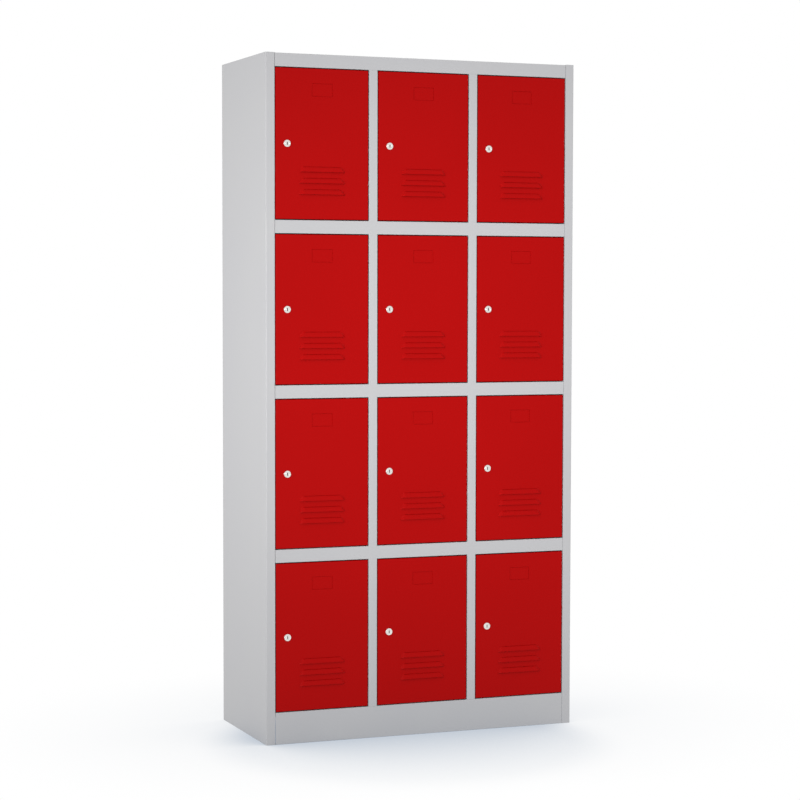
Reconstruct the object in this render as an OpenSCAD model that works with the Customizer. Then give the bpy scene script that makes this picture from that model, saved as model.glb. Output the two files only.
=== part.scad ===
// Steel locker cabinet with coin-return locks. Millimetres.
// +Z is up and the doors face -Y. The origin is the middle of the footprint, on the floor.

/* [Cabinet] */
// Overall width
body_w = 900; // [700:10:1200]
// Overall height
body_h = 1850; // [1600:10:2000]
// Depth of the carcass, front faces to back
body_d = 400; // [300:10:600]
// Number of columns of compartments
columns = 3; // [2:1:3]
// Number of rows of compartments
rows = 4; // [2:1:4]
// Thickness of the carcass sheet
sheet_t = 0.8; // [0.6:0.1:1.2]

/* [Front frame] */
// Width of each side panel's front face
side_face_w = 25; // [22:0.5:35]
// Width of the upright between two columns
mullion_w = 24.5; // [24:0.5:40]
// Height of the rail between two rows
rail_h = 35.5; // [30:0.5:50]
// Height of the top panel's front face
top_rail_h = 37; // [30:0.5:60]
// Height of the plinth
plinth_h = 86.5; // [60:0.5:150]
// How far the frame's faces are folded back
frame_depth = 20; // [19:0.5:22]
// Width of the door stop on the lock side of each opening
stop_w = 8; // [5:0.5:10]
// Width of the stiffening lips and welding flanges
lip_w = 10; // [6:1:14]

/* [Doors] */
// Gap between a door and the frame
door_gap = 2.5; // [2:0.1:3]
// Thickness of the door sheet
door_t = 0.8; // [0.6:0.1:1.2]
// Depth of the folded door
door_depth = 18; // [16:0.5:18]
// Width of the lips folded in behind the door's upright edges
door_lip = 10; // [6:1:12]
// Hinge axis, in from the door's right edge
pivot_in = 8; // [7:0.5:9]
// Hinge axis, behind the door's front face
pivot_back = 5; // [4.5:0.5:5]
// Diameter of the hinge pins
pin_d = 5; // [4:0.5:6]
// Running clearance round a hinge pin, on the radius
pin_clear = 0.05; // [0.03:0.01:0.1]

/* [Louvres] */
// Louvres in each door
louvre_count = 3; // [1:1:4]
// Width along the open lower edge
louvre_w = 130; // [80:1:150]
// Width along the upper crease
louvre_top_w = 108; // [60:1:130]
// Height of one louvre
louvre_h = 14; // [10:0.5:18]
// Distance from one louvre to the next
louvre_pitch = 30; // [22:1:36]
// Lower edge of the lowest louvre above the opening's sill
louvre_z = 69; // [40:1:90]
// How far a louvre stands out from the door
louvre_proud = 4.5; // [3:0.5:6]

/* [Label holder] */
// Width of the pressed label recess
label_w = 58.5; // [40:0.5:80]
// Height of the pressed label recess
label_h = 35; // [20:0.5:40]
// Top edge of the recess below the opening's head
label_down = 41; // [20:1:60]
// Depth of the recess
label_depth = 0.6; // [0.4:0.1:0.6]

/* [Lock] */
// Lock axis from the opening's left edge
lock_in = 34.8; // [32:0.2:40]
// Diameter of the rosette
rosette_d = 19.5; // [18:0.5:24]
// How far the rosette stands out from the door
rosette_proud = 2.2; // [1:0.2:3]
// Diameter of the lock barrel
barrel_d = 16; // [15:0.5:17]
// Diameter of the turning plug
plug_d = 12; // [10:0.5:12]
// Running clearance round the plug, on the radius
plug_clear = 0.05; // [0.03:0.01:0.1]
// Length of the cam from the lock axis to its tip
cam_len = 43; // [40:0.5:44]
// Width of the cam
cam_w = 15; // [12:1:18]
// Thickness of the cam
cam_t = 2; // [1.5:0.5:3]

/* [Coin case] */
// Width of the coin-lock case
case_w = 75; // [70:1:90]
// Height of the coin-lock case
case_h = 90; // [84:1:110]
// Wall of the case
case_wall = 2; // [1.5:0.5:2.5]
// Height of the coin slot, for a coin of 23 to 25 mm
coin_slot_h = 26; // [24:1:30]
// Width of the coin slot
coin_slot_w = 3; // [2.5:0.1:3.5]
// Width of the coin-return cup
cup_w = 32; // [28:1:40]
// Height of the coin-return cup
cup_h = 26; // [24:1:30]
// Depth of the coin-return cup
cup_d = 14; // [10:1:15]

/* [Wall fixing] */
// Diameter of the two fixing holes in the back
wall_hole_d = 8; // [6:0.5:10]
// Height of the fixing holes
wall_hole_z = 1780; // [1500:10:1790]

/* [Hidden] */
$fn = 48;
eps = 0.01;
open_w = (body_w - 2 * side_face_w - (columns - 1) * mullion_w) / columns;
open_h = (body_h - plinth_h - top_rail_h - (rows - 1) * rail_h) / rows;
front_y = (louvre_proud - body_d) / 2;
inner_back = body_d - 2 * sheet_t;
flange_w = 1.5 * lip_w;
leaf_w = open_w - 2 * door_gap;
leaf_h = open_h - 2 * door_gap;
pin_collar_d = pin_d + 2;
pin_collar_t = door_gap - 0.5;
pin_len = door_gap + 6;
case_back = frame_depth + 0.3;
case_left = lock_in - 15;
case_low = open_h / 2 - 50;
case_chamfer = 6;
boss_d = barrel_d + 6;
cup_left = case_left + case_w - cup_w - 5;
cup_low = case_low + 5;
slot_x = cup_left + cup_w / 2;
slot_low = open_h / 2 + 4;
slot_depth = 8;
cam_y = frame_depth + 1;
screw_d = 9;
screw_t = 2.5;
key_slot = [2.4, 9, 8];
steel_grey = "#c6c6c9";
door_red = "#be1212";
door_count = rows * columns;

// Two-digit door number, counted from the top left, row by row.
function numbered(n) = str(n < 10 ? "0" : "", n);

// Left edge of a column's openings and the sill of a row's, both from the cabinet's left foot.
function column_x(column) = side_face_w + column * (open_w + mullion_w);
function sill_z(row) = plinth_h + (rows - 1 - row) * (open_h + rail_h);

// From the cabinet's front left foot to the part's own origin.
module in_cabinet() {
    translate([-body_w / 2, front_y, 0]) children();
}

// The front lower left corner of the opening of door n.
module at_opening(n) {
    in_cabinet()
        translate([column_x((n - 1) % columns), 0, sill_z(floor((n - 1) / columns))])
            children();
}

// A block between two corners.
module block(low, high) {
    translate(low) cube(high - low);
}

// A cylinder along +Y, starting at y.
module along_y(d, y, length) {
    translate([0, y, 0]) rotate([-90, 0, 0]) cylinder(d = d, h = length);
}

// One door stop beside each opening, on the lock side, starting at x.
module door_stops(x) {
    for (row = [0 : rows - 1])
        block([x - eps, frame_depth - sheet_t, sill_z(row) + 1],
              [x + stop_w, frame_depth, sill_z(row) + open_h - 1]);
}

// Outer sheet with its front face, return, rear flange and foot flange, as for the left side.
module side_shell() {
    block([0, 0, 0], [sheet_t, body_d, body_h]);
    block([0, 0, 0], [side_face_w, sheet_t, body_h]);
    block([side_face_w - sheet_t, 0, 0], [side_face_w, frame_depth, body_h - sheet_t]);
    block([0, body_d - sheet_t, 0], [flange_w, body_d, body_h]);
    block([0, frame_depth + lip_w, 0], [flange_w, body_d, sheet_t]);
}

module side_panel_left() {
    color(steel_grey) in_cabinet() {
        side_shell();
        door_stops(side_face_w);
    }
}

module side_panel_right() {
    color(steel_grey) in_cabinet() translate([body_w, 0, 0]) mirror([1, 0, 0]) {
        side_shell();
        block([side_face_w - lip_w, frame_depth - sheet_t, 0],
              [side_face_w, frame_depth, body_h - sheet_t]);
    }
}

module back_panel() {
    color(steel_grey) in_cabinet() difference() {
        block([sheet_t, inner_back, 0], [body_w - sheet_t, body_d - sheet_t, body_h - sheet_t]);
        for (column = [0, columns - 1])
            translate([column_x(column) + open_w / 2, 0, wall_hole_z])
                along_y(wall_hole_d, inner_back - 1, sheet_t + 2);
    }
}

// Top sheet folded down into the top rail in front and into flanges at the sides and back.
module top_panel() {
    under = body_h - sheet_t;
    rail_z = body_h - top_rail_h;
    color(steel_grey) in_cabinet() {
        block([sheet_t, sheet_t, under], [body_w - sheet_t, body_d - sheet_t, body_h]);
        block([side_face_w, 0, rail_z], [body_w - side_face_w, sheet_t, body_h]);
        block([side_face_w, 0, rail_z], [body_w - side_face_w, frame_depth, rail_z + sheet_t]);
        block([side_face_w, frame_depth - sheet_t, rail_z],
              [body_w - side_face_w, frame_depth, rail_z + lip_w]);
        block([flange_w, body_d - sheet_t, body_h - flange_w],
              [body_w - flange_w, body_d, body_h]);
        for (x = [sheet_t, body_w - 2 * sheet_t])
            block([x, frame_depth + 1, body_h - flange_w], [x + sheet_t, inner_back - 1, body_h]);
    }
}

// Floor of the lowest compartments, a tray turned down on all four sides.
module bottom_panel() {
    color(steel_grey) in_cabinet() difference() {
        block([sheet_t, frame_depth, plinth_h - flange_w], [body_w - sheet_t, inner_back, plinth_h]);
        block([2 * sheet_t, frame_depth + sheet_t, plinth_h - flange_w - 1],
              [body_w - 2 * sheet_t, inner_back - sheet_t, plinth_h - sheet_t]);
    }
}

// Kick plate with its upper and lower edges folded back.
module plinth() {
    left = side_face_w;
    right = body_w - side_face_w;
    color(steel_grey) in_cabinet() {
        block([left, 0, 0], [right, sheet_t, plinth_h]);
        block([left, 0, 0], [right, frame_depth, sheet_t]);
        block([left, 0, plinth_h - sheet_t], [right, frame_depth, plinth_h]);
        block([left, frame_depth - sheet_t, plinth_h - lip_w], [right, frame_depth, plinth_h]);
    }
}

// Dividing sheet with a box upright along its front edge and the next column's door stops.
module partition(i) {
    x = column_x(i) - mullion_w;
    middle = x + mullion_w / 2;
    color(steel_grey) in_cabinet() {
        difference() {
            block([x, 0, plinth_h], [x + mullion_w, frame_depth, body_h - top_rail_h]);
            block([x + sheet_t, sheet_t, plinth_h - 1],
                  [x + mullion_w - sheet_t, frame_depth - sheet_t, body_h]);
        }
        block([middle - sheet_t / 2, frame_depth - eps, plinth_h],
              [middle + sheet_t / 2, inner_back, body_h - sheet_t]);
        door_stops(x + mullion_w);
    }
}

// One compartment's shelf: deck, front rail, and flanges under the back and the sides.
module shelf(column) {
    left = column_x(column);
    right = left + open_w;
    reach = (mullion_w - sheet_t) / 2;
    deck_left = column == 0 ? sheet_t : left - reach;
    deck_right = column == columns - 1 ? body_w - sheet_t : right + reach;
    block([left, 0, -sheet_t], [right, frame_depth + eps, 0]);
    block([deck_left, frame_depth, -sheet_t], [deck_right, inner_back, 0]);
    block([left, 0, -rail_h], [right, sheet_t, 0]);
    block([left, 0, -rail_h], [right, frame_depth, sheet_t - rail_h]);
    block([left, frame_depth - sheet_t, -rail_h], [right, frame_depth, lip_w - rail_h]);
    block([deck_left, inner_back - sheet_t, -flange_w], [deck_right, inner_back, 0]);
    for (x = [deck_left, deck_right - sheet_t])
        block([x, frame_depth + 1, -flange_w], [x + sheet_t, inner_back, 0]);
}

// The shelves below compartment row i, one for each column.
module shelf_row(i) {
    color(steel_grey) in_cabinet() translate([0, 0, sill_z(i - 1)])
        for (column = [0 : columns - 1]) shelf(column);
}

// A stud with a collar that carries the door clear of the frame.
module hinge_pin() {
    cylinder(d = pin_collar_d, h = pin_collar_t);
    cylinder(d = pin_d, h = pin_len);
}

// Puts its children on the hinge axis of a door, at the opening's sill.
module at_pivot() {
    translate([open_w - door_gap - pivot_in, pivot_back, 0]) children();
}

module hinge_pins() {
    color("#2b2b2e") for (n = [1 : door_count]) at_opening(n) at_pivot() {
        hinge_pin();
        translate([0, 0, open_h]) mirror([0, 0, 1]) hinge_pin();
    }
}

// Solid form of one louvre, made smaller by a wall all round for its hollow.
module louvre_form(wall) {
    rise = louvre_h - wall;
    out = louvre_proud - wall;
    slant = (louvre_w - louvre_top_w) / 2;
    intersection() {
        rotate([90, 0, 90]) linear_extrude(louvre_w, center = true)
            polygon([[door_t, -eps], [-out, -eps], [-out, 3], [0, rise], [door_t, rise]]);
        rotate([90, 0, 0]) linear_extrude(4 * louvre_proud, center = true)
            polygon([[wall - louvre_w / 2, -1], [louvre_w / 2 - wall, -1],
                     [louvre_w / 2 - wall, 3], [louvre_w / 2 - slant, louvre_h],
                     [slant - louvre_w / 2, louvre_h], [wall - louvre_w / 2, 3]]);
    }
}

// Puts its children at the lower edge of each louvre.
module at_louvres() {
    for (i = [0 : louvre_count - 1])
        translate([open_w / 2, 0, louvre_z + i * louvre_pitch]) children();
}

// Folded door with lips behind its upright edges, holes for the hinge pins and the lock,
// pressed louvres and a pressed recess for a label.
module door(n) {
    label_low = [(open_w - label_w) / 2, 0, open_h - label_down - label_h];
    label_high = label_low + [label_w, 0, label_h];
    rim = [door_t, 0, door_t];
    color(door_red) at_opening(n) difference() {
        union() {
            translate([door_gap, 0, door_gap]) difference() {
                cube([leaf_w, door_depth, leaf_h]);
                block([door_t, door_t, door_t],
                      [leaf_w - door_t, door_depth - door_t, leaf_h - door_t]);
                block([door_lip, door_t, door_t],
                      [leaf_w - door_lip, door_depth + 1, leaf_h - door_t]);
            }
            at_louvres() louvre_form(0);
            block(label_low - rim, label_high + rim + [0, door_t + label_depth, 0]);
        }
        at_louvres() translate([0, eps, -2 * eps]) louvre_form(door_t);
        block(label_low - [0, 1, 0], label_high + [0, label_depth, 0]);
        translate([lock_in, 0, open_h / 2]) along_y(barrel_d + 0.2, -1, door_t + 2);
        at_pivot() translate([0, 0, -1]) cylinder(r = pin_d / 2 + pin_clear, h = open_h + 2);
    }
}

// Moulded case on the inner face of the door, open towards the door, with the coin slot and
// the coin-return cup on the side that faces a user when the door is open.
module coin_lock(n) {
    front = door_t;
    low = [case_left, front, case_low];
    high = [case_left + case_w, case_back, case_low + case_h];
    inset = [case_wall, 0, case_wall];
    cup_high = [cup_left + cup_w, case_back, cup_low + cup_h];
    color("#26272a") at_opening(n) difference() {
        union() {
            difference() {
                case_form(low, high, case_chamfer);
                case_form(low + inset - [0, 1, 0], high - inset - [0, case_wall, 0],
                          case_chamfer - case_wall);
            }
            translate([lock_in, 0, open_h / 2]) along_y(boss_d, front, case_back - front);
            block([cup_left, case_back - cup_d, cup_low] - inset, cup_high + inset);
        }
        translate([lock_in, 0, open_h / 2]) along_y(barrel_d + 0.2, 0, case_back + 1);
        block([cup_left, case_back - cup_d + case_wall, cup_low], cup_high + [0, 1, 0]);
        block([slot_x - coin_slot_w / 2, case_back - slot_depth, slot_low],
              [slot_x + coin_slot_w / 2, case_back + 1, slot_low + coin_slot_h]);
    }
}

// A block with its four upright edges cut off, seen along Y.
module case_form(low, high, cut) {
    translate([0, high[1], 0]) rotate([90, 0, 0]) linear_extrude(high[1] - low[1])
        polygon([[low[0] + cut, low[2]], [high[0] - cut, low[2]], [high[0], low[2] + cut],
                 [high[0], high[2] - cut], [high[0] - cut, high[2]], [low[0] + cut, high[2]],
                 [low[0], high[2] - cut], [low[0], low[2] + cut]]);
}

// Barrel with the rosette that shows on the door.
module lock_barrel(n) {
    color("#e4e5e7") at_opening(n) translate([lock_in, 0, open_h / 2]) difference() {
        union() {
            along_y(rosette_d, -rosette_proud, rosette_proud);
            along_y(barrel_d, -eps, case_back + eps);
        }
        along_y(plug_d + 2 * plug_clear, -rosette_proud - 1, rosette_proud + case_back + 2);
    }
}

// Turning plug with its key slot, and the cam screwed on behind, hanging down when unlocked.
module lock_cam(n) {
    plug_front = 0.2 - rosette_proud;
    color("#d5d7da") at_opening(n) translate([lock_in, 0, open_h / 2]) difference() {
        union() {
            along_y(plug_d, plug_front, cam_y - plug_front);
            along_y(cam_w, cam_y, cam_t);
            block([-cam_w / 2, cam_y, cam_w / 2 - cam_len], [cam_w / 2, cam_y + cam_t, 0]);
            translate([0, 0, cam_w / 2 - cam_len]) along_y(cam_w, cam_y, cam_t);
            along_y(screw_d, cam_y + cam_t - eps, screw_t);
        }
        block([-key_slot[0] / 2, -rosette_proud - 1, -key_slot[2] / 2],
              [key_slot[0] / 2, key_slot[1] - rosette_proud, key_slot[2] / 2]);
    }
}

side_panel_left();
side_panel_right();
back_panel();
top_panel();
bottom_panel();
plinth();
for (i = [1 : columns - 1])
    partition(i);
for (i = [1 : rows - 1])
    shelf_row(i);
hinge_pins();
for (n = [1 : door_count])
    door(n);
for (n = [1 : door_count])
    coin_lock(n);
for (n = [1 : door_count])
    lock_barrel(n);
for (n = [1 : door_count])
    lock_cam(n);
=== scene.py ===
"""Steel locker cabinet with red louvred doors and coin-return locks. Metres, in the CAD's own frame."""
import math

import bmesh
import bpy
from mathutils import Matrix, Vector


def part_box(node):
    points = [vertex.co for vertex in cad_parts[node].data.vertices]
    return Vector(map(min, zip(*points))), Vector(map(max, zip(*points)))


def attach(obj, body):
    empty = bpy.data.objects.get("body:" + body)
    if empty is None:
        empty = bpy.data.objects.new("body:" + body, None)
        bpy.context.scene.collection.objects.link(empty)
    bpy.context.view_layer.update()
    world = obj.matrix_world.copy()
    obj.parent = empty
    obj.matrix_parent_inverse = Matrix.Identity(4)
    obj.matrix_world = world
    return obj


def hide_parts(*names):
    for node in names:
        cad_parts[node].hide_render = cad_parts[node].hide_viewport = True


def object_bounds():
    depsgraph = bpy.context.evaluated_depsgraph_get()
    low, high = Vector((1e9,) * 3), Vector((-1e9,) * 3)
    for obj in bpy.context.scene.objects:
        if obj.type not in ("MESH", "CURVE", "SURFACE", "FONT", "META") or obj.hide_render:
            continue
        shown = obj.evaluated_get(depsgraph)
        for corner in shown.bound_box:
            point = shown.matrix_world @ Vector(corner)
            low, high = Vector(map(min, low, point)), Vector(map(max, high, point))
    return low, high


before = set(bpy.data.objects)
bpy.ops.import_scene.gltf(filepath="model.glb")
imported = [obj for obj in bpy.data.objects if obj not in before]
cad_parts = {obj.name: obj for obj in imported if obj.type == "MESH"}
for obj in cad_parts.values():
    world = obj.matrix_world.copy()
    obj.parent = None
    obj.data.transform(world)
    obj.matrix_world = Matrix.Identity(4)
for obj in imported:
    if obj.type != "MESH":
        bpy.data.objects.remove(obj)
cad_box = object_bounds()

# ---- Side panels ----
# Each side is one cold-rolled steel sheet, 0.8 mm thick. A press brake folds its front edge into
# the broad upright, the return beside the doors and the door stop. The press brake leaves
# rounded folds, and a light grey powder coat is baked over them.
MM = 0.001
fold_radius = 1.3 * MM
corner_radius = 2.6 * MM
narrowest_strip = 3 * MM
sheet = 0.8 * MM
top_drop = 1.2 * MM
near = 0.01 * MM
merged = 0.001 * MM
front_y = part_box("plinth")[0].y
under_top = cad_box[1].z - sheet
X, Y, Z = 0, 1, 2


def linear(hex_colour):
    """An sRGB hex colour as linear RGBA."""
    srgb = [int(hex_colour[i:i + 2], 16) / 255 for i in (1, 3, 5)]
    return [c / 12.92 if c <= 0.04045 else ((c + 0.055) / 1.055) ** 2.4 for c in srgb] + [1]


def add_node(material, kind, properties={}, sockets={}, links={}):
    """Adds a shader node, sets its properties and sockets, and links outputs to its inputs."""
    node = material.node_tree.nodes.new(kind)
    for name, value in properties.items():
        setattr(node, name, value)
    for name, value in sockets.items():
        node.inputs[name].default_value = value
    for name, output in links.items():
        material.node_tree.links.new(output, node.inputs[name])
    return node


def new_material(name):
    """An empty node material and its output node."""
    material = bpy.data.materials.new(name)
    material.use_nodes = True
    material.node_tree.nodes.clear()
    return material, material.node_tree.nodes.new("ShaderNodeOutputMaterial")


def powder_coat(name, colour, shade, roughness, specular):
    """Polyester powder, sprayed and baked: satin, a little uneven in film and tone, with a fine
    orange peel over sheet that isn't quite flat."""
    cloud = 0.25
    peel = 5 * MM  # real peel is 1 to 2 mm across, drawn coarser so that it shows
    sheet_wave = 0.4
    material, output = new_material(name)
    place = add_node(material, "ShaderNodeTexCoord").outputs["Object"]
    tone = add_node(material, "ShaderNodeTexNoise", sockets={"Scale": 1 / cloud, "Detail": 3.0},
                    links={"Vector": place}).outputs["Fac"]
    colours = add_node(material, "ShaderNodeMix", {"data_type": "RGBA"}, links={0: tone})
    colours.inputs[6].default_value = linear(shade)
    colours.inputs[7].default_value = linear(colour)
    gloss = add_node(material, "ShaderNodeMapRange",
                     sockets={"To Min": roughness - 0.05, "To Max": roughness + 0.05},
                     links={"Value": tone}).outputs["Result"]
    wave = add_node(material, "ShaderNodeTexNoise",
                    sockets={"Scale": 1 / sheet_wave, "Detail": 0.0}, links={"Vector": place})
    bent = add_node(material, "ShaderNodeBump", sockets={"Strength": 0.5, "Distance": 0.6 * MM},
                    links={"Height": wave.outputs["Fac"]}).outputs["Normal"]
    grain = add_node(material, "ShaderNodeTexNoise",
                     sockets={"Scale": 1 / peel, "Detail": 1.0}, links={"Vector": place})
    skin = add_node(material, "ShaderNodeBump", sockets={"Strength": 0.35, "Distance": 0.06 * MM},
                    links={"Height": grain.outputs["Fac"], "Normal": bent}).outputs["Normal"]
    shader = add_node(material, "ShaderNodeBsdfPrincipled",
                      sockets={"IOR": 1.5, "Specular IOR Level": specular},
                      links={"Base Color": colours.outputs[2], "Roughness": gloss, "Normal": skin})
    material.node_tree.links.new(shader.outputs["BSDF"], output.inputs["Surface"])
    return material


def sheet_solid(node):
    """The CAD sheet as a merged solid with one flat face for each strip of sheet."""
    solid = bmesh.new()
    solid.from_mesh(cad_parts[node].data)
    bmesh.ops.remove_doubles(solid, verts=solid.verts, dist=0.015 * MM)
    bmesh.ops.dissolve_limit(solid, angle_limit=math.radians(1), verts=solid.verts,
                             edges=solid.edges)
    return solid


def folds(solid, along):
    """The outer fold lines that run along an axis between two strips of sheet."""
    found = []
    for edge in solid.edges:
        start, end = (v.co for v in edge.verts)
        if len(edge.link_faces) != 2 or abs((end - start).normalized()[along]) < 0.999:
            continue
        if not edge.is_convex or edge.calc_face_angle() < math.radians(60):
            continue
        spans = []
        for face in edge.link_faces:
            across = [v.co - start for v in face.verts]
            for offset in across:
                offset[along] = 0
            spans.append(0 if abs(face.normal[along]) > 0.1 else max(o.length for o in across))
        if min(spans) > narrowest_strip:
            found.append(edge)
    return found


def round_edges(solid, edges, radius, steps=3):
    """Rolls sharp edges over to a radius."""
    bmesh.ops.bevel(solid, geom=edges, offset=radius, offset_type="OFFSET", segments=steps,
                    profile=0.5, affect="EDGES", material=-1, clamp_overlap=True)


def add_piece(name, solid, material, body, stands_for=(), sharp=35):
    """Makes a finished piece from its mesh, rides it on its body and gives it its finish."""
    mesh = bpy.data.meshes.new(name)
    solid.to_mesh(mesh)
    solid.free()
    mesh.shade_smooth()
    mesh.set_sharp_from_angle(angle=math.radians(sharp))
    mesh.materials.append(material)
    piece = bpy.data.objects.new(name, mesh)
    bpy.context.scene.collection.objects.link(piece)
    piece.modifiers.new("flat_stays_flat", "WEIGHTED_NORMAL").keep_sharp = True
    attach(piece, body)
    if stands_for:
        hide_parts(*stands_for)
    return piece


def end_under_top(solid):
    """Lowers a sheet's upper end with the top, which sits a little below the sides' upper edges."""
    for vert in solid.verts:
        if abs(vert.co.z - under_top) < near:
            vert.co.z -= top_drop


grey_coat = powder_coat("light_grey_powder_coat", "#aaaaab", "#a5a5a8", 0.45, 0.3)

for node in ("side_panel_left", "side_panel_right"):
    side = sheet_solid(node)
    end_under_top(side)
    outer_x = max((v.co.x for v in side.verts), key=abs)
    fold_lines = folds(side, Z)
    corner = [e for e in fold_lines if abs(e.verts[0].co.x - outer_x) < MM]
    round_edges(side, [e for e in fold_lines if e not in corner], fold_radius)
    corner = [e for e in folds(side, Z) if abs(e.verts[0].co.x - outer_x) < MM]
    round_edges(side, corner, corner_radius, steps=5)
    add_piece(node + "_sheet", side, grey_coat, "cabinet", [node])

# ---- Back, top, bottom and plinth ----
# Four more grey sheets. The back is flat and spot-welded inside the side panels' rear flanges.
# The top, the floor tray and the plinth are folded trays, and their faces butt between the sides.
# A narrow seam is left there, so that the sheets slide together, and the top sits a little below
# the side panels' upper edges.
seam = 0.75 * MM
seam_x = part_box("plinth")[1].x
seam_back = front_y + 21 * MM


def leave_seams(solid):
    """Draws the front ends of a tray in from the two side panels."""
    for vert in solid.verts:
        if abs(abs(vert.co.x) - seam_x) < near and vert.co.y < seam_back:
            vert.co.x -= math.copysign(seam, vert.co.x)


for node, along in (("back_panel", Z), ("top_panel", X), ("bottom_panel", X), ("plinth", X)):
    tray = sheet_solid(node)
    leave_seams(tray)
    end_under_top(tray)
    upper_face = [v for v in tray.verts if v.co.z > cad_box[1].z - near]
    bmesh.ops.translate(tray, verts=upper_face, vec=(0, 0, -top_drop))
    round_edges(tray, folds(tray, along), fold_radius)
    add_piece(node + "_sheet", tray, grey_coat, "cabinet", [node])

# ---- Partitions ----
# Each dividing sheet carries a roll-formed box upright. Rails are welded to it and ground flush,
# so its corners are rounded only beside the doors and stay square where a rail crosses.
leaves = sorted(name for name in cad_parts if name.startswith("door_"))
leaf_boxes = {name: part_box(name) for name in leaves}
door_gap = 2.5 * MM
weld_step = 0.05 * MM
openings_z = sorted({(round(low.z - door_gap, 5), round(high.z + door_gap, 5))
                     for low, high in leaf_boxes.values()})


def cut_across(surface, axis, places):
    """Cuts a surface through with planes square to an axis."""
    normal = [0, 0, 0]
    normal[axis] = 1
    for place in places:
        point = [0, 0, 0]
        point[axis] = place
        bmesh.ops.bisect_plane(surface, geom=surface.verts[:] + surface.edges[:] + surface.faces[:],
                               plane_co=point, plane_no=normal, dist=merged)


def square_at_rails(upright, corners_x):
    """Draws the rounded front corners out square again where a rail is welded to them."""
    reach = fold_radius + merged
    for vert in upright.verts:
        beside_door = any(low - weld_step / 2 < vert.co.z < high + weld_step / 2
                          for low, high in openings_z)
        if beside_door or vert.co.y > front_y + reach:
            continue
        for corner_x in corners_x:
            if abs(vert.co.x - corner_x) < reach:
                vert.co.x = corner_x
                vert.co.y = front_y
    bmesh.ops.remove_doubles(upright, verts=upright.verts, dist=merged)


for node in ("partition_1", "partition_2"):
    upright = sheet_solid(node)
    end_under_top(upright)
    cut_across(upright, Z, [z for low, high in openings_z
                            for z in (low - weld_step, low, high, high + weld_step)])
    front_folds = [e for e in folds(upright, Z) if e.verts[0].co.y < front_y + MM]
    corners_x = sorted({round(e.verts[0].co.x, 5) for e in front_folds})
    round_edges(upright, front_folds, fold_radius)
    square_at_rails(upright, corners_x)
    add_piece(node + "_sheet", upright, grey_coat, "cabinet", [node])

# ---- Shelves ----
# One folded shelf under every compartment but the lowest three. Its front edge drops as the rail
# between two doors and turns back underneath, and its other edges are flanges for the spot welds.
for node in ("shelf_row_1", "shelf_row_2", "shelf_row_3"):
    shelves = sheet_solid(node)
    leave_seams(shelves)
    round_edges(shelves, folds(shelves, X), fold_radius)
    add_piece(node + "_sheets", shelves, grey_coat, "cabinet", [node])

# ---- Hinge pins ----
# Turned steel studs with a collar, pressed into the frame above and below every door. They are
# chemically blackened and oiled, so that they don't show in the gap.


def cloudy_metal(name, dark, light, dull, patch):
    """A thin chemical finish on steel, cloudy in patches of a few mm, silky between them."""
    material, output = new_material(name)
    place = add_node(material, "ShaderNodeTexCoord").outputs["Object"]
    cloudy = add_node(material, "ShaderNodeTexNoise", sockets={"Scale": 1 / patch, "Detail": 4.0},
                      links={"Vector": place}).outputs["Fac"]
    colours = add_node(material, "ShaderNodeMix", {"data_type": "RGBA"}, links={0: cloudy})
    colours.inputs[6].default_value = linear(dark)
    colours.inputs[7].default_value = linear(light)
    gloss = add_node(material, "ShaderNodeMapRange",
                     sockets={"To Min": dull - 0.08, "To Max": dull + 0.08},
                     links={"Value": cloudy}).outputs["Result"]
    shader = add_node(material, "ShaderNodeBsdfPrincipled", sockets={"Metallic": 1.0},
                      links={"Base Color": colours.outputs[2], "Roughness": gloss})
    material.node_tree.links.new(shader.outputs["BSDF"], output.inputs["Surface"])
    return material


black_oxide = cloudy_metal("black_oxide_steel", "#18181a", "#26262a", 0.45, 3 * MM)


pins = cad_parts["hinge_pins"]
pins.data.materials.clear()
pins.data.materials.append(black_oxide)

# ---- Doors ----
# Each leaf is one sheet, 0.8 mm, pressed and folded into a shallow pan 18 mm deep. One stroke
# shears and pushes out the three louvres and sinks the label recess. Red powder coat all over.
pan_depth = 18 * MM
pan_lip = 10 * MM
pan_radius = 1.2 * MM
louvre_half = 65 * MM
louvre_crease_half = 54 * MM
louvre_height = 14 * MM
louvre_proud = 4.5 * MM
louvre_above_leaf = [66 * MM, 96 * MM, 126 * MM]
louvre_end = 6 * MM
louvre_score = (1.2 * MM, 1.3 * MM)
louvre_cuts_in = [0, 1, 2, 3.5, 5, 7, 9, 11, 13, 15, 17]
louvre_cuts_up = [0, 1.5, 3, 4.5, 6, 7.5, 9, 10.5, 12, 12.8, 13.4, 13.7, 14]
label_half = 29.25 * MM
label_steps = [(0.3 * MM, 1.08 * MM), (0.5 * MM, 0), (0.3 * MM, -0.48 * MM)]
label_above_leaf = (326 * MM, 361 * MM)
hole_margin = 12 * MM
barrel_hole = 8.1 * MM
red_coat = powder_coat("signal_red_powder_coat", "#9c0404", "#970303", 0.42, 0.05)


def pressed(t):
    """0 to 1 over a pressed edge, with a crisp crease at its foot and a round shoulder."""
    t = min(max(t, 0), 1)
    return math.sin(t * math.pi / 2) ** 0.8


def louvre_push(across, up):
    """How far a louvre stands out, at a place across from its middle and up from its lower edge.
    The die scores its upper crease."""
    slant = (louvre_half - louvre_crease_half) / louvre_height
    from_end = louvre_half - slant * up - abs(across)
    down = louvre_height - up
    score_wide, score_deep = louvre_score
    score = score_deep * max(0, 1 - abs(2 * down / score_wide - 1))
    proud = louvre_proud * pressed(down / (0.8 * louvre_height))
    return (proud - score) * pressed(from_end / louvre_end)


def faces_within(surface, x_low, x_high, z_low, z_high):
    """The faces of an upright surface whose middles lie in a rectangle."""
    found = []
    for face in surface.faces:
        middle = face.calc_center_median()
        if x_low < middle.x < x_high and z_low < middle.z < z_high:
            found.append(face)
    return found


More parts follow.
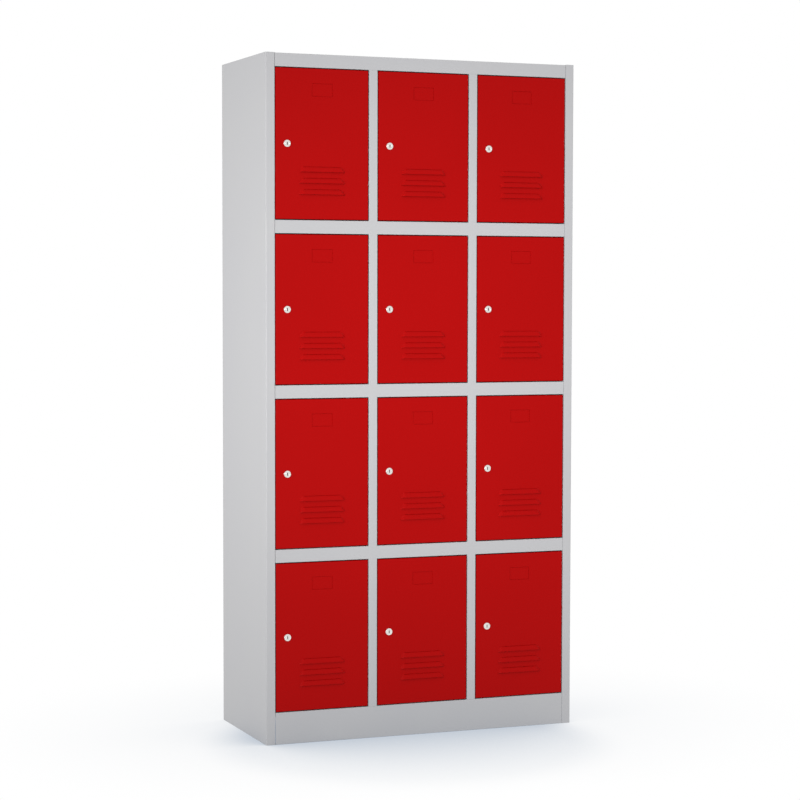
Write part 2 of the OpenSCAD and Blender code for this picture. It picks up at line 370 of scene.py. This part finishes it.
def open_round_hole(surface, centre, half, radius, steps=24):
    """Opens a round hole in the middle of the square face round centre, and gives its rim."""
    square = faces_within(surface, centre.x - half, centre.x + half, centre.z - half, centre.z + half)
    rim = {edge for face in square for edge in face.edges}
    bmesh.ops.delete(surface, geom=square, context="FACES_ONLY")
    turn = Matrix.Translation(centre) @ Matrix.Rotation(math.radians(90), 4, "X")
    ring = bmesh.ops.create_circle(surface, segments=steps, radius=radius, matrix=turn)
    round_rim = list({edge for vert in ring["verts"] for edge in vert.link_edges})
    bmesh.ops.bridge_loops(surface, edges=list(rim) + round_rim)
    return round_rim


def door_sheet(low, high, lock):
    """The leaf's outer surface, from its lower left to its upper right, with its lock hole."""
    middle = (low.x + high.x) / 2
    size = Matrix.Diagonal(((high.x - low.x) / 2, (high.z - low.z) / 2, 1, 1))
    place = Matrix.Translation((middle, front_y, (low.z + high.z) / 2))
    leaf = bmesh.new()
    bmesh.ops.create_grid(leaf, x_segments=1, y_segments=1, size=1,
                          matrix=place @ Matrix.Rotation(math.radians(90), 4, "X") @ size)
    end_cuts = [louvre_half - step * MM for step in louvre_cuts_in]
    cut_across(leaf, X, [middle + side * cut for cut in end_cuts + [label_half] for side in (-1, 1)])
    cut_across(leaf, X, [lock.x - hole_margin, lock.x + hole_margin])
    cut_across(leaf, Z, [lock.z - hole_margin, lock.z + hole_margin])
    cut_across(leaf, Z, [low.z + height for height in label_above_leaf])
    for lower_edge in louvre_above_leaf:
        cut_across(leaf, Z, [low.z + lower_edge + rise * MM for rise in louvre_cuts_up])
    for lower_edge in louvre_above_leaf:
        slit_z = low.z + lower_edge
        slit = [e for e in leaf.edges
                if all(abs(v.co.z - slit_z) < near and abs(v.co.x - middle) < louvre_half + near
                       for v in e.verts)]
        bmesh.ops.split_edges(leaf, edges=slit)
        hood = faces_within(leaf, middle - louvre_half, middle + louvre_half,
                            slit_z, slit_z + louvre_height)
        for vert in {v for face in hood for v in face.verts}:
            vert.co.y -= louvre_push(vert.co.x - middle, vert.co.z - slit_z)
    recess = faces_within(leaf, middle - label_half, middle + label_half,
                          low.z + label_above_leaf[0], low.z + label_above_leaf[1])
    for width, depth in label_steps:
        bmesh.ops.inset_region(leaf, faces=recess, thickness=width, depth=-depth,
                               use_even_offset=True)
    open_round_hole(leaf, Vector((lock.x, front_y, lock.z)), hole_margin, barrel_hole)
    return leaf


def on_outline(edge, low, high):
    """True for an edge on the leaf's outer rectangle."""
    for axis in (X, Z):
        for limit in (low, high):
            if all(abs(v.co[axis] - limit[axis]) < near for v in edge.verts):
                return True
    return False


def fold_pan(leaf, low, high):
    """Folds the four edges back and turns the upright ones in again."""
    outline = [e for e in leaf.edges if e.is_boundary and on_outline(e, low, high)]
    folded = bmesh.ops.extrude_edge_only(leaf, edges=outline)["geom"]
    moved = [item for item in folded if isinstance(item, bmesh.types.BMVert)]
    bmesh.ops.translate(leaf, verts=moved, vec=(0, pan_depth, 0))
    rear = [item for item in folded if isinstance(item, bmesh.types.BMEdge)
            and all(v.co.y > front_y + pan_depth - MM for v in item.verts)]
    uprights = []
    for limit, turn_in in ((low, pan_lip), (high, -pan_lip)):
        edge_row = [e for e in rear if all(abs(v.co.x - limit.x) < near for v in e.verts)]
        lip = bmesh.ops.extrude_edge_only(leaf, edges=edge_row)["geom"]
        tips = [item for item in lip if isinstance(item, bmesh.types.BMVert)]
        bmesh.ops.translate(leaf, verts=tips, vec=(turn_in, 0, 0))
        uprights += edge_row
    corners = [e for e in leaf.edges
               if abs((e.verts[1].co - e.verts[0].co).normalized().y) > 0.99
               and on_outline(e, low, high)
               and len(e.link_faces) == 2 and e.calc_face_angle() > 1]
    round_edges(leaf, outline + uprights + corners, pan_radius)


for name in leaves:
    number = name[-2:]
    low, high = leaf_boxes[name]
    barrel_low, barrel_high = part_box("lock_barrel_" + number)
    lock = (barrel_low + barrel_high) / 2
    leaf = door_sheet(low, high, lock)
    fold_pan(leaf, low, high)
    piece = add_piece("door_leaf_" + number, leaf, red_coat, "leaf_" + number,
                      [name])
    wall = piece.modifiers.new("sheet_thickness", "SOLIDIFY")
    wall.thickness = sheet
    wall.offset = -1
    wall.use_even_offset = True
    piece.modifiers.move(1, 0)

# ---- Door buffers ----
# Small rubber discs pushed on to the door stops, two behind the lock side of every door, so the
# leaf closes without a clang.
buffer_radius = 4 * MM
buffer_height = 1.1 * MM
stop_face = front_y + 19.2 * MM
buffer_in = 2.2 * MM


def moulded_rubber():
    """Black EPDM rubber from a plain mould: matt, dusty, with a faint mould grain."""
    grain = 0.8 * MM
    material, output = new_material("black_moulded_rubber")
    place = add_node(material, "ShaderNodeTexCoord").outputs["Object"]
    dust = add_node(material, "ShaderNodeTexNoise", sockets={"Scale": 1 / grain, "Detail": 2.0},
                    links={"Vector": place}).outputs["Fac"]
    colours = add_node(material, "ShaderNodeMix", {"data_type": "RGBA"}, links={0: dust})
    colours.inputs[6].default_value = linear("#18181a")
    colours.inputs[7].default_value = linear("#29292b")
    skin = add_node(material, "ShaderNodeBump", sockets={"Strength": 0.4, "Distance": 0.05 * MM},
                    links={"Height": dust}).outputs["Normal"]
    shader = add_node(material, "ShaderNodeBsdfPrincipled",
                      sockets={"Roughness": 0.8, "Specular IOR Level": 0.35},
                      links={"Base Color": colours.outputs[2], "Normal": skin})
    material.node_tree.links.new(shader.outputs["BSDF"], output.inputs["Surface"])
    return material


def lathe(profile, centre, steps=32):
    """Turns a closed profile of (radius, y) points round the Y axis through centre."""
    turned = bmesh.new()
    points = [turned.verts.new(centre + Vector((radius, y, 0))) for radius, y in profile]
    outline = [turned.edges.new(pair) for pair in zip(points, points[1:] + points[:1])]
    bmesh.ops.spin(turned, geom=points + outline, cent=centre, axis=(0, 1, 0),
                   angle=2 * math.pi, steps=steps, use_merge=True)
    bmesh.ops.remove_doubles(turned, verts=turned.verts, dist=merged)
    bmesh.ops.recalc_face_normals(turned, faces=turned.faces)
    return turned


def gather(parts):
    """Puts several meshes together as the loose pieces of one."""
    whole = bmesh.new()
    spare = bpy.data.meshes.new("spare")
    for part in parts:
        part.to_mesh(spare)
        part.free()
        whole.from_mesh(spare)
    bpy.data.meshes.remove(spare)
    return whole


buffer_profile = [(0, 0), (0, -1), (0.7, -1), (0.92, -0.8), (1, -0.4), (1, 0)]
discs = []
for low, high in leaf_boxes.values():
    for share in (0.2, 0.8):
        centre = Vector((low.x + buffer_in, stop_face, low.z + share * (high.z - low.z)))
        profile = [(r * buffer_radius, y * buffer_height) for r, y in buffer_profile]
        discs.append(lathe(profile, centre, steps=20))
add_piece("door_buffers", gather(discs), moulded_rubber(), "cabinet")

# ---- Coin-lock cases ----
# Black glass-filled nylon, injection moulded, screwed to the inner face of the door. A coin goes
# in at the slot, and drops back into the cup below it when the key frees the door.
case_front_gap = 0.2 * MM
case_corner = 6 * MM
case_edge = 1.5 * MM
slot_half = (1.5 * MM, 13 * MM)
slot_from_right = 21 * MM
slot_above_axis = 17 * MM
slot_deep = 8 * MM
slot_rim = 0.01 * MM
cup_from_right = (5 * MM, 37 * MM)
cup_above_foot = (5 * MM, 31 * MM)
cup_deep = 12 * MM
cup_lip = 1.2 * MM
bore_margin = 9.5 * MM
bore_floor = 2 * MM


def moulded_nylon():
    """Black nylon from a spark-eroded mould: fine even grain and a low sheen."""
    grain = 1.2 * MM  # real grain is about 0.1 mm, drawn coarser so that it shows
    material, output = new_material("black_moulded_nylon")
    place = add_node(material, "ShaderNodeTexCoord").outputs["Object"]
    spark = add_node(material, "ShaderNodeTexNoise", sockets={"Scale": 1 / grain, "Detail": 3.0},
                     links={"Vector": place}).outputs["Fac"]
    colours = add_node(material, "ShaderNodeMix", {"data_type": "RGBA"}, links={0: spark})
    colours.inputs[6].default_value = linear("#1d1e20")
    colours.inputs[7].default_value = linear("#28292c")
    skin = add_node(material, "ShaderNodeBump", sockets={"Strength": 0.5, "Distance": 0.06 * MM},
                    links={"Height": spark}).outputs["Normal"]
    gloss = add_node(material, "ShaderNodeMapRange", sockets={"To Min": 0.45, "To Max": 0.6},
                     links={"Value": spark}).outputs["Result"]
    shader = add_node(material, "ShaderNodeBsdfPrincipled", sockets={"IOR": 1.53},
                      links={"Base Color": colours.outputs[2], "Roughness": gloss, "Normal": skin})
    material.node_tree.links.new(shader.outputs["BSDF"], output.inputs["Surface"])
    return material


def polished_plate(name, colour, roughness):
    """Plated metal: clean and bright, faintly smeared by its polishing wheel."""
    smear = 3 * MM
    material, output = new_material(name)
    place = add_node(material, "ShaderNodeTexCoord").outputs["Object"]
    streak = add_node(material, "ShaderNodeTexNoise", sockets={"Scale": 1 / smear, "Detail": 3.0},
                      links={"Vector": place}).outputs["Fac"]
    gloss = add_node(material, "ShaderNodeMapRange",
                     sockets={"To Min": roughness - 0.05, "To Max": roughness + 0.07},
                     links={"Value": streak}).outputs["Result"]
    skin = add_node(material, "ShaderNodeBump", sockets={"Strength": 0.15, "Distance": 0.01 * MM},
                    links={"Height": streak}).outputs["Normal"]
    shader = add_node(material, "ShaderNodeBsdfPrincipled",
                      sockets={"Metallic": 1.0, "Base Color": linear(colour)},
                      links={"Roughness": gloss, "Normal": skin})
    material.node_tree.links.new(shader.outputs["BSDF"], output.inputs["Surface"])
    return material


nylon = moulded_nylon()
zinc = cloudy_metal("zinc_plated_steel", "#9da1a9", "#b6b9bd", 0.4, 6 * MM)
nickel = polished_plate("polished_nickel_plate", "#e6e4df", 0.27)


def lengthwise(solid, axis):
    """The edges of a block that run along an axis."""
    return [e for e in solid.edges
            if abs((e.verts[1].co - e.verts[0].co).normalized()[axis]) > 0.999]


def rounded_block(low, high, corner, steps=6):
    """A block whose four edges along Y are rounded to a radius."""
    size = Matrix.Diagonal((high.x - low.x, high.y - low.y, high.z - low.z, 1))
    block = bmesh.new()
    bmesh.ops.create_cube(block, size=1, matrix=Matrix.Translation((low + high) / 2) @ size)
    round_edges(block, lengthwise(block, Y), corner, steps)
    return block


def sink(solid, faces, inset, depth):
    """Sets a region of faces in from its outline and pushes it back into the solid."""
    bmesh.ops.inset_region(solid, faces=faces, thickness=inset, depth=0, use_even_offset=True)
    pushed = bmesh.ops.extrude_face_region(solid, geom=faces)["geom"]
    bmesh.ops.delete(solid, geom=faces, context="FACES")
    moved = [item for item in pushed if isinstance(item, bmesh.types.BMVert)]
    bmesh.ops.translate(solid, verts=moved, vec=(0, -depth, 0))


def coin_case(low, high, lock):
    """The case, with its bore for the lock, its coin slot and its return cup."""
    case = rounded_block(low, high, case_corner)
    outline = [e for e in case.edges if all(v.co.y > high.y - near for v in e.verts)]
    round_edges(case, outline, case_edge)
    slot_x = high.x - slot_from_right
    slot_z = lock.z + slot_above_axis
    cup_x = (high.x - cup_from_right[1], high.x - cup_from_right[0])
    cup_z = (low.z + cup_above_foot[0], low.z + cup_above_foot[1])
    cut_across(case, X, [slot_x - slot_half[0], slot_x + slot_half[0], *cup_x,
                         lock.x - bore_margin, lock.x + bore_margin])
    cut_across(case, Z, [slot_z - slot_half[1], slot_z + slot_half[1], *cup_z,
                         lock.z - bore_margin, lock.z + bore_margin])

    def back_faces(x_low, x_high, z_low, z_high):
        return [f for f in faces_within(case, x_low, x_high, z_low, z_high) if f.normal.y > 0.99]

    sink(case, back_faces(*cup_x, *cup_z), cup_lip, cup_deep)
    slot = back_faces(slot_x - slot_half[0], slot_x + slot_half[0],
                      slot_z - slot_half[1], slot_z + slot_half[1])
    sink(case, slot, slot_rim, slot_deep)
    bore = back_faces(lock.x - bore_margin, lock.x + bore_margin,
                      lock.z - bore_margin, lock.z + bore_margin)
    rim = {e for f in bore for e in f.edges if sum(g in bore for g in e.link_faces) == 1}
    bmesh.ops.delete(case, geom=bore, context="FACES")
    turn = Matrix.Translation((lock.x, high.y, lock.z)) @ Matrix.Rotation(math.radians(90), 4, "X")
    ring = bmesh.ops.create_circle(case, segments=24, radius=barrel_hole, matrix=turn)
    round_rim = list({e for v in ring["verts"] for e in v.link_edges})
    bmesh.ops.bridge_loops(case, edges=list(rim) + round_rim)
    wall = bmesh.ops.extrude_edge_only(case, edges=round_rim)["geom"]
    moved = [item for item in wall if isinstance(item, bmesh.types.BMVert)]
    bmesh.ops.translate(case, verts=moved, vec=(0, low.y - high.y + bore_floor, 0))
    end = [e for e in wall if isinstance(e, bmesh.types.BMEdge) and all(v in moved for v in e.verts)]
    bmesh.ops.contextual_create(case, geom=moved + end)
    bmesh.ops.recalc_face_normals(case, faces=case.faces)
    return case


def socket_disc(radius, thickness, centre, socket, deep, steps=28, edge=0.4 * MM, inside=0):
    """A disc facing +Y with a socket of the given outline, as (x, z) points, sunk in its face.
    inside is the material slot of the socket's inner faces."""
    disc = bmesh.new()
    turn = Matrix.Translation(centre) @ Matrix.Rotation(math.radians(90), 4, "X")
    ring = bmesh.ops.create_circle(disc, segments=steps, radius=radius, matrix=turn)
    rim = list({e for v in ring["verts"] for e in v.link_edges})
    corners = [disc.verts.new(centre + Vector((x, 0, z))) for x, z in socket]
    mouth = [disc.edges.new(pair) for pair in zip(corners, corners[1:] + corners[:1])]
    bmesh.ops.bridge_loops(disc, edges=rim + mouth)
    for loop, drop in ((rim, thickness), (mouth, deep)):
        wall = bmesh.ops.extrude_edge_only(disc, edges=loop)["geom"]
        moved = [item for item in wall if isinstance(item, bmesh.types.BMVert)]
        bmesh.ops.translate(disc, verts=moved, vec=(0, -drop, 0))
        end = [e for e in wall if isinstance(e, bmesh.types.BMEdge) and all(v in moved for v in e.verts)]
        bmesh.ops.contextual_create(disc, geom=moved + end)
        for face in {f for v in moved for f in v.link_faces if loop is mouth}:
            face.material_index = inside
    bmesh.ops.recalc_face_normals(disc, faces=disc.faces)
    round_edges(disc, rim, edge, 3)
    return disc


def hexagon(radius):
    """The six corners of a hexagon socket."""
    return [(radius * math.cos(turn * math.pi / 3), radius * math.sin(turn * math.pi / 3))
            for turn in range(6)]


screw_radius = 3.2 * MM
screw_height = 1.4 * MM
screw_in = 7 * MM
screw_socket = 1.3 * MM
screw_socket_deep = 1 * MM
for name in leaves:
    number = name[-2:]
    body = "leaf_" + number
    low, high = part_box("coin_lock_" + number)
    low = low + Vector((0, case_front_gap, 0))
    barrel_low, barrel_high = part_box("lock_barrel_" + number)
    lock = (barrel_low + barrel_high) / 2
    add_piece("coin_case_" + number, coin_case(low, high, lock), nylon, body,
              ["coin_lock_" + number])
    corners = [(high.x - screw_in, high.z - screw_in), (low.x + screw_in, high.z - screw_in),
               (low.x + screw_in, low.z + screw_in)]
    screws = [socket_disc(screw_radius, screw_height, Vector((x, high.y + screw_height, z)),
                          hexagon(screw_socket), screw_socket_deep, steps=20)
              for x, z in corners]
    add_piece("case_screws_" + number, gather(screws), zinc, body)

# ---- Lock barrels ----
# Turned brass, nickel plated and polished. The rosette covers the hole in the door, and the
# threaded body runs through the door and the case.
rosette_edge = 0.7 * MM
rosette_round = 0.2 * MM
mouth = 6.05 * MM
mouth_chamfer = 0.35 * MM
body_radius = 8 * MM
for name in leaves:
    number = name[-2:]
    low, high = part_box("lock_barrel_" + number)
    axis = (low + high) / 2
    axis.y = front_y
    rosette = high.x - axis.x
    proud = front_y - low.y
    length = high.y - front_y
    profile = [(mouth, length), (mouth, mouth_chamfer - proud), (mouth + mouth_chamfer, -proud),
               (rosette - rosette_edge, -proud),
               (rosette - rosette_round, rosette_edge - rosette_round - proud),
               (rosette, rosette_edge + 0.3 * MM - proud), (rosette, 0), (body_radius, 0),
               (body_radius, length)]
    add_piece("barrel_" + number, lathe(profile, axis, steps=48), nickel, "leaf_" + number,
              ["lock_barrel_" + number])

# ---- Plugs and cams ----
# The plug turns in the barrel with the key. A flat steel cam is screwed to its square end and
# swings behind the frame to hold the door.
plug_radius = 6 * MM
keyway_half = (1.2 * MM, 4 * MM)
keyway = [(x * keyway_half[0], z * keyway_half[1]) for x, z in ((-1, -1), (1, -1), (1, 1), (-1, 1))]
keyway_deep = 7 * MM
cam_width = 15 * MM
cam_thick = 2 * MM
cam_end = 0.499 * cam_width  # just short of a half round, so that the ends stay sound
cam_screw = 4.5 * MM
cam_screw_height = 2.5 * MM
cam_screw_socket = 2 * MM
cam_screw_socket_deep = 1.5 * MM
for name in leaves:
    number = name[-2:]
    body = "plug_" + number
    low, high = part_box("lock_cam_" + number)
    axis = Vector(((low.x + high.x) / 2, low.y, high.z - cam_width / 2))
    cam_back = high.y - cam_screw_height
    plug = socket_disc(plug_radius, cam_back - cam_thick - low.y, Vector((0, 0, 0)), keyway,
                       keyway_deep, steps=36, edge=0.3 * MM, inside=1)
    bmesh.ops.rotate(plug, verts=plug.verts, cent=(0, 0, 0), matrix=Matrix.Rotation(math.pi, 3, "Z"))
    bmesh.ops.translate(plug, verts=plug.verts, vec=axis)
    face = add_piece("plug_face_" + number, plug, nickel, body, ["lock_cam_" + number])
    # The keyway's inner faces take the dark black oxide. This is partly the oiled wafers and dirt of a
    # real keyway and partly painted shade for the slot's depth.
    face.data.materials.append(black_oxide)
    cam = rounded_block(Vector((low.x, cam_back - cam_thick, low.z)),
                        Vector((high.x, cam_back, high.z)), cam_end, steps=10)
    add_piece("cam_" + number, cam, zinc, body)
    screw = socket_disc(cam_screw, cam_screw_height, Vector((axis.x, high.y, axis.z)),
                        hexagon(cam_screw_socket), cam_screw_socket_deep, steps=24)
    add_piece("cam_screw_" + number, screw, zinc, body)

# ---- Studio ----
# An evenly lit white room and a glowing white floor with a painted bluish shadow, as for a catalogue.
# Two gridded softboxes lift the middle of the cabinet's front and of its left side.
# The painted shadow: how far it reaches, and the pool in front of the cabinet where it is painted at
# full strength. Elsewhere it is painted at 0.35 of that.
painted_shadow_reach = 0.8
painted_shadow_pool = (0.6, 0.62)
painted_shadow_middle = (-0.08, front_y - 0.12, 0)
painted_shadow_core = 0.3
painted_shadow_elsewhere = 0.35


def studio_floor():
    """A floor that glows evenly white, with a painted soft bluish shadow where something stands close
    over it, found by ambient occlusion and painted stronger in a pool in front of the cabinet."""
    material, output = new_material("white_floor_painted_shadow")
    place = add_node(material, "ShaderNodeTexCoord").outputs["Object"]
    from_middle = add_node(material, "ShaderNodeMapping", {"vector_type": "TEXTURE"},
                           {"Location": painted_shadow_middle, "Scale": (*painted_shadow_pool, 1)},
                           {"Vector": place}).outputs["Vector"]
    pool = add_node(material, "ShaderNodeTexGradient", {"gradient_type": "SPHERICAL"},
                    links={"Vector": from_middle}).outputs["Fac"]
    strength = add_node(material, "ShaderNodeMapRange", {"interpolation_type": "SMOOTHSTEP"},
                        {"From Max": painted_shadow_core, "To Min": painted_shadow_elsewhere}, {"Value": pool})
    covered = add_node(material, "ShaderNodeAmbientOcclusion", {"samples": 16},
                       {"Distance": painted_shadow_reach})
    shaded = add_node(material, "ShaderNodeInvert", links={"Color": covered.outputs["AO"]})
    share = add_node(material, "ShaderNodeMath", {"operation": "MULTIPLY"},
                     links={0: shaded.outputs["Color"], 1: strength.outputs["Result"]})
    # Mixes the glowing white with the painted shadow's bluish colour, #5a7d9f, by how close the cabinet
    # stands.
    colours = add_node(material, "ShaderNodeMix", {"data_type": "RGBA"}, links={0: share.outputs[0]})
    colours.inputs[6].default_value = linear("#ffffff")
    colours.inputs[7].default_value = linear("#5a7d9f")
    glow = add_node(material, "ShaderNodeEmission", links={"Color": colours.outputs[2]})
    material.node_tree.links.new(glow.outputs["Emission"], output.inputs["Surface"])
    return material


floor_mesh = bpy.data.meshes.new("studio_floor")
floor_grid = bmesh.new()
bmesh.ops.create_grid(floor_grid, x_segments=1, y_segments=1, size=40)
floor_grid.to_mesh(floor_mesh)
floor_grid.free()
floor_mesh.materials.append(studio_floor())
floor = bpy.data.objects.new("studio_floor", floor_mesh)
bpy.context.scene.collection.objects.link(floor)


def softbox(name, place, target, width, height, spread, power):
    """A rectangular area light that looks at target, with a grid that narrows its beam."""
    light = bpy.data.lights.new(name, "AREA")
    light.shape = "RECTANGLE"
    light.size = width
    light.size_y = height
    light.spread = math.radians(spread)
    light.energy = power
    lamp = bpy.data.objects.new(name, light)
    lamp.location = place
    lamp.rotation_euler = (Vector(target) - Vector(place)).to_track_quat("-Z", "Y").to_euler()
    bpy.context.scene.collection.objects.link(lamp)


softbox("front_softbox", (-2.0, -3.4, 1.5), (0.15, front_y, 1.1), 1.4, 1.4, 40, 6.2)
softbox("side_softbox", (-4.0, -1.0, 1.5), (-0.45, 0, 1.1), 1.4, 1.4, 45, 3.2)

world = bpy.data.worlds.new("white_studio")
world.use_nodes = True
world.node_tree.nodes["Background"].inputs["Color"].default_value = (1, 1, 1, 1)
world.node_tree.nodes["Background"].inputs["Strength"].default_value = 1.0
bpy.context.scene.world = world
bpy.context.scene.view_settings.view_transform = "Standard"

# ---- Camera ----
# Standing eye height, a little left of the cabinet, with a long lens.
camera_place = (-2.304, -5.982, 1.227)
camera_turn = math.radians(22.148)
camera_tilt = math.radians(3.304)
camera_roll = math.radians(0.168)
lens = bpy.data.cameras.new("camera")
lens.sensor_width = 36
lens.lens = 102.5
lens.shift_x = -0.05
lens.shift_y = 0.025
lens.clip_end = 200
camera = bpy.data.objects.new("camera", lens)
camera.matrix_world = (Matrix.Translation(camera_place) @ Matrix.Rotation(-camera_turn, 4, "Z")
                       @ Matrix.Rotation(math.pi / 2 - camera_tilt, 4, "X")
                       @ Matrix.Rotation(camera_roll, 4, "Z"))
bpy.context.scene.collection.objects.link(camera)
bpy.context.scene.camera = camera
